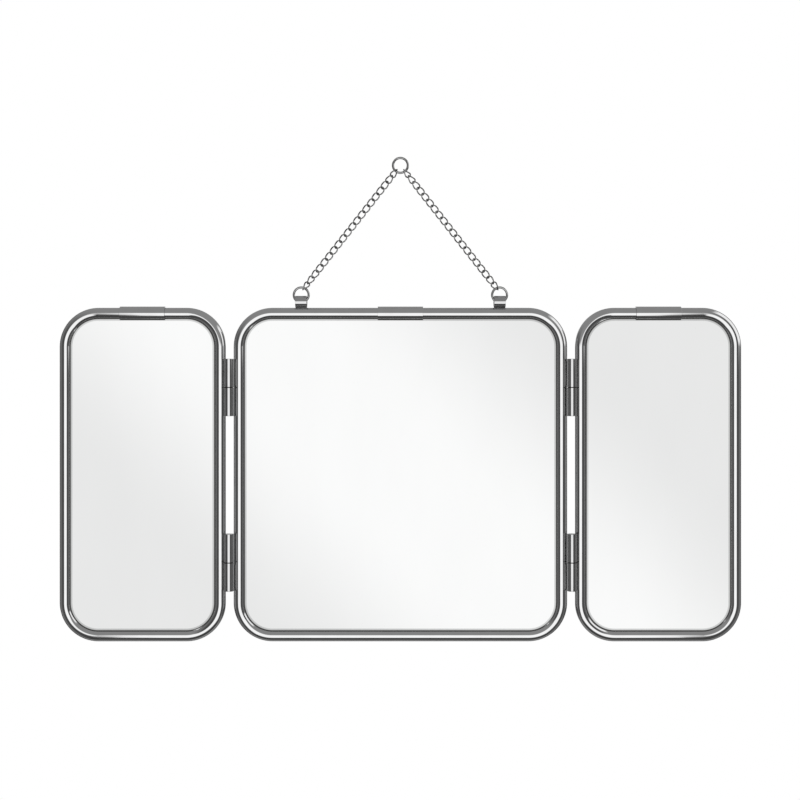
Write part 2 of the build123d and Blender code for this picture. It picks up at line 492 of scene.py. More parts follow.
class SectionSweep:
    """A face drawn out leg by leg along straights and bends, as one closed skin."""

    def __init__(self, bm: BMesh, faces: list, place: Vector, heading: Vector) -> None:
        """Starts at the section's own faces.

        Args:
            bm: the mesh that holds them.
            faces: the faces of the section.
            place: the section's centre.
            heading: the direction of the first leg.
        """
        self.bm = bm
        self.faces = faces
        self.place = place.copy()
        self.heading = heading.normalized()
        self.begun = False

    def ahead(self, length: float) -> None:
        """Draws the section straight on.

        Args:
            length: how far.
        """
        grown = bmesh.ops.extrude_face_region(self.bm, geom=self.faces)["geom"]
        corners = [item for item in grown if isinstance(item, bmesh.types.BMVert)]
        bmesh.ops.translate(self.bm, verts=corners, vec=self.heading * length)
        self.place += self.heading * length
        self.move_on(grown)

    def turn(self, angle: float, radius: float, axis: Vector, steps: int) -> None:
        """Draws the section round a bend.

        Args:
            angle: how far it turns, in radians, right-handed about the axis.
            radius: from the bend's centre to the section's centre.
            axis: the direction of the bend's axis.
            steps: sections in the bend.
        """
        centre = self.place + axis.cross(self.heading) * math.copysign(radius, angle)
        last = bmesh.ops.spin(
            self.bm, geom=self.faces, cent=centre, axis=axis, angle=angle, steps=steps
        )["geom_last"]
        swing = Matrix.Rotation(angle, 3, axis)
        self.place = centre + swing @ (self.place - centre)
        self.heading = swing @ self.heading
        self.move_on(last)

    def move_on(self, grown: list) -> None:
        """Takes the new end's faces, and clears the old ones out of the inside after the first leg.

        Args:
            grown: the geometry of the new end.
        """
        if self.begun:
            bmesh.ops.delete(self.bm, geom=self.faces, context="FACES")
        self.faces = [item for item in grown if isinstance(item, bmesh.types.BMFace)]
        self.begun = True


def slotted_section(
    bm: BMesh, outer: float, inner: float, slot: float, segments: int, middle: Vector
) -> list:
    """Makes the section of a tube along X with a slot in its underside.

    Args:
        bm: the mesh, which holds nothing else yet.
        outer: outside radius.
        inner: inside radius.
        slot: width of the slot.
        segments: points round the full tube.
        middle: the section's middle.

    Returns:
        The section's faces.
    """
    rims = []
    for radius in (outer, inner):
        points = bmesh.ops.create_circle(bm, radius=radius, segments=segments)["verts"]
        rims += list({edge for point in points for edge in point.link_edges})
    bmesh.ops.bridge_loops(bm, edges=rims)
    for edge_x in (-slot / 2, slot / 2):
        whole = [*bm.verts, *bm.edges, *bm.faces]
        bmesh.ops.bisect_plane(bm, geom=whole, dist=1e-9, plane_co=(edge_x, 0, 0), plane_no=X_AXIS)
    centres = {face: face.calc_center_median() for face in bm.faces}
    gap = [face for face, centre in centres.items() if centre.y < 0 and abs(centre.x) < slot / 2]
    bmesh.ops.delete(bm, geom=gap, context="FACES")
    across_x = Matrix(((0, 0, 1, 0), (1, 0, 0, 0), (0, 1, 0, 0), (0, 0, 0, 1)))
    bmesh.ops.transform(bm, matrix=Matrix.Translation(middle) @ across_x, verts=bm.verts)
    return list(bm.faces)


def flat_strip(bm: BMesh, place: Matrix, width: float, height: float, columns: int = 1) -> list:
    """Makes a flat rectangle.

    Args:
        bm: the mesh to add it to.
        place: where its middle goes; it lies in this matrix's XY plane.
        width: its size along X.
        height: its size along Y.
        columns: faces along X.

    Returns:
        Its points.
    """
    fitted = place @ Matrix.Diagonal((width, height, 1.0, 1.0))
    return bmesh.ops.create_grid(bm, x_segments=columns, y_segments=1, size=0.5, matrix=fitted)["verts"]


def rounded_sheet(
    bm: BMesh, middle: Vector, width: float, height: float, radius: float, steps: int
) -> bmesh.types.BMFace:
    """Makes one upright face with round corners that looks towards -Y.

    Args:
        bm: the mesh to add it to.
        middle: the middle of the sheet.
        width: its size along X.
        height: its size along Z.
        radius: of its corners.
        steps: segments in each corner.

    Returns:
        The face.
    """
    upright = Matrix.Translation(middle) @ Matrix.Rotation(math.pi / 2, 4, "X")
    bmesh.ops.bevel(
        bm,
        geom=flat_strip(bm, upright, width, height),
        offset=radius,
        offset_type="OFFSET",
        segments=steps,
        profile=0.5,
        affect="VERTICES",
        material=-1,
    )
    return max(bm.faces, key=lambda face: face.calc_area())


def sharp_rims(bm: BMesh) -> list:
    """Finds the rims of a skin.

    Args:
        bm: the mesh.

    Returns:
        The edges where two faces meet at more than the rim angle.
    """
    return [edge for edge in bm.edges if len(edge.link_faces) == 2 and edge.calc_face_angle() > RIM_ANGLE]


def break_edges(bm: BMesh, rims: list, width: float, segments: int = 2) -> None:
    """Rounds edges off.

    Args:
        bm: the mesh.
        rims: the edges.
        width: how far from the edge the rounding begins.
        segments: faces across it.
    """
    bmesh.ops.bevel(
        bm, geom=rims, offset=width, segments=segments, profile=0.5, affect="EDGES", material=-1
    )


def set_sharp(bm: BMesh) -> None:
    """Shades the skin smooth, with a crease where it turns sharply or changes finish.

    Args:
        bm: the mesh.
    """
    for face in bm.faces:
        face.smooth = True
    for edge in bm.edges:
        same_finish = len({face.material_index for face in edge.link_faces}) == 1
        level = len(edge.link_faces) == 2 and edge.calc_face_angle() < CREASE_ANGLE
        edge.smooth = same_finish and level


def carve(piece: bpy.types.Object, cutter: BMesh) -> None:
    """Cuts a shape out of a piece.

    Args:
        piece: the piece.
        cutter: the shape, which is used up.
    """
    tool = put_in_scene("cutter", as_mesh("cutter", cutter))
    cut = piece.modifiers.new("cut", "BOOLEAN")
    cut.operation = "DIFFERENCE"
    cut.solver = "EXACT"
    cut.object = tool
    piece.modifiers["even_shading"].show_viewport = False
    evaluated = piece.evaluated_get(bpy.context.evaluated_depsgraph_get())
    carved = bpy.data.meshes.new_from_object(evaluated)
    piece.modifiers.remove(cut)
    piece.modifiers["even_shading"].show_viewport = True
    piece.data = carved
    bpy.data.objects.remove(tool)


@dataclass
class Workshop:
    """Turns finished meshes into pieces that ride on the frame. Boards are kept with the metals."""

    finishes: dict[Finish, bpy.types.Material] = field(default_factory=mix_finishes)
    metals: list[bpy.types.Object] = field(default_factory=list)
    panes: list[bpy.types.Object] = field(default_factory=list)

    def fit(
        self, bm: BMesh, name: str, finishes: tuple[Finish, ...], body: str, node: str, slot: Slot
    ) -> bpy.types.Object:
        """Makes a piece that stands for a CAD node.

        Args:
            bm: its mesh, which is used up.
            name: the piece's name.
            finishes: its finishes, in the order of the faces' numbers.
            body: the CAD body it rides on.
            node: the CAD node it stands for.
            slot: its material slot, which sorts panes from metals.

        Returns:
            The piece.
        """
        bmesh.ops.recalc_face_normals(bm, faces=bm.faces)
        set_sharp(bm)
        piece = put_in_scene(name, as_mesh(name, bm))
        for finish in finishes:
            piece.data.materials.append(self.finishes[finish])
        shading = piece.modifiers.new("even_shading", "WEIGHTED_NORMAL")
        shading.keep_sharp = True
        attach(piece, body)
        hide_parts(node)
        (self.panes if slot is Slot.SILVERED_GLASS else self.metals).append(piece)
        LOG.info("%s stands for %s on %s, %d faces", name, node, body, len(piece.data.polygons))
        return piece

    def dress(self, node: str, finish: Finish) -> None:
        """Gives a CAD node a finish of its own.

        Args:
            node: the node's name.
            finish: its finish.
        """
        part = bpy.data.objects[node]
        part.data.materials.clear()
        part.data.materials.append(self.finishes[finish])
        self.metals.append(part)
        LOG.info("%s keeps its CAD shape", node)


@dataclass
class PanelFrame:
    """One rolled tube frame with its pane, board and sleeve."""

    panel: Panel
    workshop: Workshop
    tube_radius: float = 4.1 * MM
    tube_wall: float = 0.7 * MM
    corner_radius: float = 28.0 * MM
    butt_gap: float = 0.3 * MM
    slot_width: float = 3.8 * MM
    sleeve_bore: float = 4.2 * MM
    sleeve_radius: float = 5.0 * MM
    sleeve_slot: float = 4.6 * MM
    sleeve_rim: float = 0.12 * MM
    sleeve_lip: float = 0.55 * MM
    sheet_inset: float = 1.0 * MM
    bevel_width: float = 4.35 * MM
    bevel_depth: float = 0.15 * MM
    covered_width: float = 2.9 * MM
    # Width over which the painted shade along the tube fades out.
    shade_width: float = 0.6 * MM
    arris: float = 0.15 * MM
    leg_slot: Triple = (8.4 * MM, 1.6 * MM, 3.0 * MM)
    round_segments: int = 48
    bend_steps: int = 24

    def build(self) -> None:
        """Builds the four pieces of the panel."""
        self.build_tube()
        self.build_sleeve()
        self.build_pane()
        self.build_board()

    def fit(
        self, bm: BMesh, name: str, finishes: tuple[Finish, ...], node: str, slot: Slot
    ) -> bpy.types.Object:
        """Makes a piece of this panel."""
        return self.workshop.fit(bm, f"{self.panel.value}_{name}", finishes, self.panel.body, node, slot)

    def build_tube(self) -> None:
        """Draws the slotted tube round the panel, from one side of its butt joint to the other."""
        node = f"{self.panel.value}_frame_tube"
        low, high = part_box(node)
        middle = (low + high) / 2
        bend = self.corner_radius - self.tube_radius
        bore = self.tube_radius - self.tube_wall
        across = (high.x - low.x) / 2 - self.corner_radius
        down = (high.z - low.z) / 2 - self.corner_radius
        start = Vector((middle.x - self.butt_gap / 2, 0, high.z - self.tube_radius))
        bm = bmesh.new()
        faces = slotted_section(bm, self.tube_radius, bore, self.slot_width, self.round_segments, start)
        sweep = SectionSweep(bm, faces, start, -X_AXIS)
        half_top = across - self.butt_gap / 2
        sweep.ahead(half_top)
        for leg in (2 * down, 2 * across, 2 * down, half_top):
            sweep.turn(-math.pi / 2, bend, Y_AXIS, self.bend_steps)
            sweep.ahead(leg)
        piece = self.fit(bm, "rolled_tube", (Finish.TUBE_CHROME,), node, Slot.CHROME_FRAME)
        if self.panel is Panel.CENTRE:
            self.cut_leg_slots(piece, high.z)

    def cut_leg_slots(self, piece: bpy.types.Object, top: float) -> None:
        """Cuts the two slots that the hanger loops' legs go through.

        Args:
            piece: the centre panel's tube.
            top: height of the tube's top.
        """
        cutter = bmesh.new()
        for side in Side:
            low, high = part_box(f"{side.label}_hanger_loop")
            place = Matrix.Translation(((low.x + high.x) / 2, 0, top))
            size = Matrix.Diagonal((*self.leg_slot, 1.0))
            bmesh.ops.create_cube(cutter, size=1.0, matrix=place @ size)
        carve(piece, cutter)

    def build_sleeve(self) -> None:
        """Rolls the open sleeve over the butt joint, breaks the edges of its ends and paints shade on the
        lips beside its slot.
        """
        node = f"{self.panel.value}_joint_sleeve"
        low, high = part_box(node)
        start = Vector((low.x, 0, high.z - self.sleeve_radius))
        bm = bmesh.new()
        faces = slotted_section(
            bm, self.sleeve_radius, self.sleeve_bore, self.sleeve_slot, self.round_segments, start
        )
        SectionSweep(bm, faces, start, X_AXIS).ahead(high.x - low.x)
        bmesh.ops.recalc_face_normals(bm, faces=bm.faces)
        break_edges(bm, [edge for edge in sharp_rims(bm) if edge.is_convex], self.sleeve_rim)
        # The lip faces below the middle, beside the slot, get painted shade.
        for face in bm.faces:
            middle = face.calc_center_median()
            at_lip = abs(middle.y) < self.sleeve_slot / 2 + self.sleeve_lip
            face.material_index = int(at_lip and middle.z < start.z)
        finishes = (Finish.TUBE_CHROME, Finish.TARNISHED_LIP)
        self.fit(bm, "sleeve_shell", finishes, node, Slot.CHROME_FRAME)

    def cut_sheet(self, bm: BMesh, node: str, onward: int, spared: float = 0.0) -> SectionSweep:
        """Cuts a sheet with round corners to the size of a CAD node.

        Args:
            bm: the mesh to add it to.
            node: the node.
            onward: 1 to draw it from its front to its back, or -1 from its back to its front.
            spared: how much thinner it is than the node.

        Returns:
            The sweep, at the sheet's last face.
        """
        low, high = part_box(node)
        middle = (low + high) / 2
        first = Vector((middle.x, low.y if onward > 0 else high.y, middle.z))
        corner = self.corner_radius - (self.tube_radius + self.sheet_inset)
        face = rounded_sheet(bm, first, high.x - low.x, high.z - low.z, corner, self.bend_steps)
        sweep = SectionSweep(bm, [face], middle, Y_AXIS * onward)
        sweep.ahead(high.y - low.y - spared)
        return sweep

    def build_pane(self) -> None:
        """Cuts the glass, grinds its border back and marks the strip along the tube that carries painted
        shade.
        """
        node = f"{self.panel.value}_mirror_glass"
        bm = bmesh.new()
        shade_layer = bm.verts.layers.float.new(PAINTED_EDGE_SHADE)
        front = self.cut_sheet(bm, node, -1, self.bevel_depth).faces[0]
        bmesh.ops.recalc_face_normals(bm, faces=bm.faces)
        for face in bm.faces:
            face.material_index = 1
        for vertex in bm.verts:
            vertex[shade_layer] = 1.0
        clean_width = self.bevel_width - self.covered_width - self.shade_width
        # Painted shade is full under the tube and fades out over the next strip.
        for width, share in ((self.covered_width, 1.0), (self.shade_width, 0.0), (clean_width, 0.0)):
            depth = self.bevel_depth * width / self.bevel_width
            bmesh.ops.inset_region(bm, faces=[front], thickness=width, depth=depth, use_even_offset=True)
            for vertex in front.verts:
                vertex[shade_layer] = share
        front.material_index = 0
        self.fit(bm, "silvered_pane", (Finish.GLASS, Finish.GROUND_EDGE), node, Slot.SILVERED_GLASS)

    def build_board(self) -> None:
        """Cuts the backing board and rubs its edges down."""
        node = f"{self.panel.value}_backing_board"
        bm = bmesh.new()
        self.cut_sheet(bm, node, 1)
        break_edges(bm, sharp_rims(bm), self.arris)
        self.fit(bm, "fibre_board", (Finish.BOARD,), node, Slot.BACKING_BOARD)


@dataclass
class BarrelHinge:
    """One pin hinge: a barrel on the wing, a barrel on the centre frame and the pin in both."""

    side: Side
    level: str
    workshop: Workshop
    radius: float = 3.549 * MM
    bore_radius: float = 1.55 * MM
    bore_depth: float = 16.5 * MM
    rim: float = 0.2 * MM
    boss_radius: float = 2.9 * MM
    boss: float = 0.14 * MM
    # How far in front of the axis, as a share of the radius, a face must lie to stay free of painted
    # shade.
    unshaded_front: float = 0.1
    axis_x: float = 122.8 * MM
    axis_y: float = -4.7 * MM
    tube_x: float = 129.7 * MM
    tube_radius: float = 4.1 * MM
    braze_end: float = 1.5 * MM
    braze_half: float = 1.8 * MM
    braze_waist: float = 0.72
    braze_hollow: float = 0.35
    braze_root: float = 0.6
    braze_toe: float = 0.8
    braze_columns: int = 16
    segments: int = 48

    @property
    def axis(self) -> Vector:
        """The hinge's axis, at the height of the origin."""
        return Vector((self.side.value * self.axis_x, self.axis_y, 0))

    def build(self) -> None:
        """Builds both barrels and dresses the pin."""
        for owner in ("wing", "frame"):
            self.build_barrel(owner)
        self.workshop.dress(f"{self.side.label}_{self.level}_hinge_pin", Finish.PIN_STEEL)

    def build_barrel(self, owner: str) -> None:
        """Turns one barrel, bores it for the pin and brazes it to its own tube.

        Args:
            owner: wing or frame.
        """
        hinge = f"{self.side.label}_{self.level}_{owner}"
        node = f"{hinge}_knuckle"
        low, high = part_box(node)
        on_top = (owner == "wing") == (self.level == "lower")
        bm = bmesh.new()
        self.turn_barrel(bm, low.z, high.z, on_top)
        self.lay_braze(bm, low.z + self.braze_end, high.z - self.braze_end, owner)
        body = f"{self.side.label}_wing" if owner == "wing" else "centre_panel"
        finishes = (Finish.BARREL_CHROME, Finish.TURNED_END, Finish.GREASED_BORE)
        self.workshop.fit(bm, f"{hinge}_barrel", finishes, body, node, Slot.CHROME_FITTINGS)

    def turn_barrel(self, bm: BMesh, low: float, high: float, on_top: bool) -> None:
        """Turns the barrel from its half outline.

        Args:
            bm: the mesh to add it to.
            low: the barrel's lower end.
            high: its upper end.
            on_top: whether it is the upper barrel, which is bored from below.
        """
        mouth, closed, up = (low, high, 1) if on_top else (high, low, -1)
        outline = (
            (0.0, mouth + up * self.bore_depth),
            (self.bore_radius, mouth + up * self.bore_depth),
            (self.bore_radius, mouth - up * self.boss),
            (self.boss_radius, mouth - up * self.boss),
            (self.boss_radius, mouth),
            (self.radius, mouth),
            (self.radius, closed),
            (0.0, closed),
        )
        axis = self.axis
        turned = bmesh.new()
        points = [turned.verts.new(axis + Vector((reach, 0, height))) for reach, height in outline]
        lines = [turned.edges.new(pair) for pair in zip(points, points[1:])]
        spin_round(turned, points + lines, axis, Z_AXIS, self.segments)
        bmesh.ops.remove_doubles(turned, verts=turned.verts, dist=0.001 * MM)
        bmesh.ops.recalc_face_normals(turned, faces=turned.faces)
        skin = self.radius - self.rim
        rims = [
            edge
            for edge in sharp_rims(turned)
            if all((point.co - axis).xy.length > skin for point in edge.verts)
        ]
        break_edges(turned, rims, self.rim, segments=3)
        for face in turned.faces:
            middle = face.calc_center_median()
            # The closed end's faces are darker, and faces turned away from the front get painted shade.
            if abs(middle.z - closed) < self.rim or middle.y - axis.y > -self.unshaded_front * self.radius:
                face.material_index = 1
            # The mouth's rim faces get painted seam shade; the bore's faces are greased.
            elif (middle.z - mouth) * up < self.rim or (middle - axis).xy.length < self.boss_radius:
                face.material_index = 2
        mesh = as_mesh("barrel", turned)
        bm.from_mesh(mesh)
        bpy.data.meshes.remove(mesh)

    def lay_braze(self, bm: BMesh, low: float, high: float, owner: str) -> None:
        """Lays the hollow-sided braze between the barrel and its tube.

        Args:
            bm: the mesh to add it to.
            low: the braze's lower end.
            high: its upper end.
            owner: wing or frame.
        """
        outward = self.side.value if owner == "wing" else -self.side.value
        axis = self.axis
        reach = Vector((outward * (self.tube_x - self.axis_x), -self.axis_y, 0))
        along = reach.normalized()
        start, end = self.braze_root * self.radius, reach.length - self.braze_toe * self.tube_radius
        gap_middle = (self.radius + reach.length - self.tube_radius) / 2
        turned = Matrix((along, Z_AXIS.cross(along), Z_AXIS)).transposed().to_4x4()
        place = Matrix.Translation(axis + along * (start + end) / 2 + Z_AXIS * low) @ turned
        strip = flat_strip(bm, place, end - start, 2 * self.braze_half, self.braze_columns)
        sideways = Vector((-along.y, along.x, 0))
        for point in strip:
            offset = point.co - axis
            from_gap = abs(offset.dot(along) - gap_middle) / self.radius
            flare = min(1.0, (from_gap / self.braze_hollow) ** 2)
            pinch = self.braze_waist + (1 - self.braze_waist) * flare
            point.co -= sideways * offset.dot(sideways) * (1 - pinch)
        faces = list({face for point in strip for face in point.link_faces})
        # The braze takes the barrel's darker finish of ends and flanks.
        for face in faces:
            face.material_index = 1
        SectionSweep(bm, faces, axis, Z_AXIS).ahead(high - low)


@dataclass
class HangerLoop:
    """A strip rolled round its end ring, with both legs clinched inside the top tube.

    The underside of the roll, in the nip, has painted shade.
    """

    side: Side
    workshop: Workshop
    radius: float = 4.25 * MM
    nip: float = 2.6 * MM
    strip: float = 0.6 * MM
    leg_slit: float = 0.2 * MM
    throat: float = 0.6 * MM
    foot: float = 0.9 * MM
    foot_bend: float = 0.4 * MM
    rim: float = 0.08 * MM
    foot_steps: int = 6
    throat_steps: int = 8
    roll_steps: int = 60

    def build(self) -> None:
        """Rolls the strip from one foot, up, round and down to the other."""
        node = f"{self.side.label}_hanger_loop"
        low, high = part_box(node)
        centre_z = high.z - self.radius
        barrel = self.radius - self.strip / 2
        leg_y = (self.leg_slit + self.strip) / 2
        bow = math.asin((leg_y + self.throat) / (barrel + self.throat))
        throat_z = centre_z - (barrel + self.throat) * math.cos(bow)
        foot_z = low.z + self.strip / 2
        leg = throat_z - foot_z - self.foot_bend
        start = Vector(((low.x + high.x) / 2, leg_y + self.foot_bend + self.foot / 2, foot_z))
        bm = bmesh.new()
        place = Matrix.Translation(start) @ Matrix.Rotation(math.pi / 2, 4, "X")
        corners = flat_strip(bm, place, high.x - low.x, self.strip)
        sweep = SectionSweep(bm, [corners[0].link_faces[0]], start, -Y_AXIS)
        sweep.ahead(self.foot / 2)
        sweep.turn(-math.pi / 2, self.foot_bend, X_AXIS, self.foot_steps)
        sweep.ahead(leg)
        sweep.turn(-(math.pi / 2 - bow), self.throat, X_AXIS, self.throat_steps)
        sweep.turn(2 * (math.pi - bow), barrel, X_AXIS, self.roll_steps)
        sweep.turn(-(math.pi / 2 - bow), self.throat, X_AXIS, self.throat_steps)
        sweep.ahead(leg)
        sweep.turn(-math.pi / 2, self.foot_bend, X_AXIS, self.foot_steps)
        sweep.ahead(self.foot / 2)
        bmesh.ops.recalc_face_normals(bm, faces=bm.faces)
        break_edges(bm, sharp_rims(bm), self.rim)
        # Faces below the nip get painted shade.
        for face in bm.faces:
            face.material_index = int(face.calc_center_median().z < centre_z - self.nip)
        name = f"{self.side.label}_rolled_loop"
        finishes = (Finish.BARREL_CHROME, Finish.DULL_PLATE)
        self.workshop.fit(bm, name, finishes, "centre_panel", node, Slot.CHROME_FITTINGS)


@dataclass
class HangingChains:
    """The apex ring, the two end rings and the two curb chains between them."""

    workshop: Workshop
    ring_wire: float = 0.85 * MM
    ring_middle: float = 5.35 * MM
    link_wire: float = 0.5 * MM
    link_half: float = 3.26 * MM
    link_half_width: float = 2.1 * MM
    link_pitch: float = 5.44 * MM
    link_joint: float = 0.1 * MM
    hook: float = 3.9 * MM
    hook_turn: float = math.radians(18)
    hook_slack: float = 1.0 * MM
    link_twist: float = math.radians(45)
    link_lean: float = math.radians(15)
    leaning_links: int = 3
    link_count: int = 20
    ring_steps: int = 72
    ring_segments: int = 20
    link_segments: int = 12
    link_steps: int = 10

    def build(self) -> None:
        """Builds the rings, then the chains."""
        self.build_ring("apex_ring", "top_ring")
        for side in Side:
            self.build_ring(f"{side.label}_end_ring", "hanger")
            self.build_chain(side)

    def build_ring(self, node: str, body: str) -> None:
        """Bends one closed ring of wire.

        Args:
            node: the CAD node it stands for.
            body: the CAD body it rides on.
        """
        middle = middle_of(node)
        place = Matrix.Translation(middle + X_AXIS * self.ring_middle)
        bm = bmesh.new()
        points = bmesh.ops.create_circle(
            bm, radius=self.ring_wire, segments=self.ring_segments, matrix=place
        )["verts"]
        wire = list({edge for point in points for edge in point.link_edges})
        spin_round(bm, points + wire, middle, Y_AXIS, self.ring_steps)
        bmesh.ops.rotate(bm, verts=bm.verts, cent=middle, matrix=Matrix.Rotation(math.pi / 2, 3, "Y"))
        self.workshop.fit(bm, f"{node}_wire", (Finish.RING_CHROME,), body, node, Slot.CHROME_WIRE)

    def bend_link(self) -> bpy.types.Mesh:
        """Bends one oval link lying along X and twists its two ends apart.

        Returns:
            The link's mesh, with its middle at the origin.
        """
        bm = bmesh.new()
        straight = self.link_half - self.link_half_width
        start = Vector((-self.link_joint / 2, self.link_half_width, 0))
        place = Matrix.Translation(start) @ Matrix.Rotation(math.pi / 2, 4, "Y")
        points = bmesh.ops.create_circle(
            bm, cap_ends=True, radius=self.link_wire, segments=self.link_segments, matrix=place
        )["verts"]
        sweep = SectionSweep(bm, [points[0].link_faces[0]], start, -X_AXIS)
        sweep.ahead(straight - self.link_joint / 2)
        sweep.turn(math.pi, self.link_half_width, Z_AXIS, self.link_steps)
        sweep.ahead(straight)
        sweep.ahead(straight)
        sweep.turn(math.pi, self.link_half_width, Z_AXIS, self.link_steps)
        sweep.ahead(straight - self.link_joint / 2)
        bmesh.ops.recalc_face_normals(bm, faces=bm.faces)
        for point in bm.verts:
            twist = self.link_twist * point.co.x / self.link_half
            point.co = Matrix.Rotation(twist, 3, "X") @ point.co
        return as_mesh("link", bm)

    def build_chain(self, side: Side) -> None:
        """Hooks the links on one another, from the apex ring to one end ring.

        Args:
            side: the side of the mirror.
        """
        apex = middle_of("apex_ring")
        ahead = self.heading(apex, middle_of(f"{side.label}_end_ring"))
        across = -Y_AXIS.cross(ahead)
        link = self.bend_link()
        bm = bmesh.new()
        for index in range(self.link_count):
            before = min(index - self.leaning_links, 0)
            after = max(index + 1 + self.leaning_links - self.link_count, 0)
            lean = self.link_lean * (before + after)
            facing = -Y_AXIS * math.cos(lean) - across * math.sin(lean)
            turned = Matrix((ahead, facing.cross(ahead), facing)).transposed().to_4x4()
            middle = apex + ahead * (self.hook + self.link_half + index * self.link_pitch)
            first = len(bm.verts)
            bm.from_mesh(link)
            bm.verts.ensure_lookup_table()
            bmesh.ops.transform(bm, matrix=Matrix.Translation(middle) @ turned, verts=bm.verts[first:])
        bpy.data.meshes.remove(link)
        name, node = f"{side.label}_curb_chain", f"{side.label}_chain"
        self.workshop.fit(bm, name, (Finish.LINK_NICKEL,), "hanger", node, Slot.CHROME_WIRE)

    def heading(self, apex: Vector, end: Vector) -> Vector:
        """Finds the chain's direction from the place where its last link bears on the end ring.

        Args:
            apex: the middle of the apex ring.
            end: the middle of the end ring.

        Returns:
            The unit direction, away from the apex ring.
        """
        links = (self.link_count - 1) * self.link_pitch + 2 * self.link_half
        hooked = links + 2 * self.hook
        inward = math.copysign(self.hook, -end.x) * math.sin(self.hook_turn)
        bearing = end + Vector((inward, 0, self.hook * math.cos(self.hook_turn)))
        spare = abs((bearing - apex).length + self.hook - hooked)
        assert spare < self.hook_slack, "the chain doesn't reach its ring"
        return (bearing - apex).normalized()


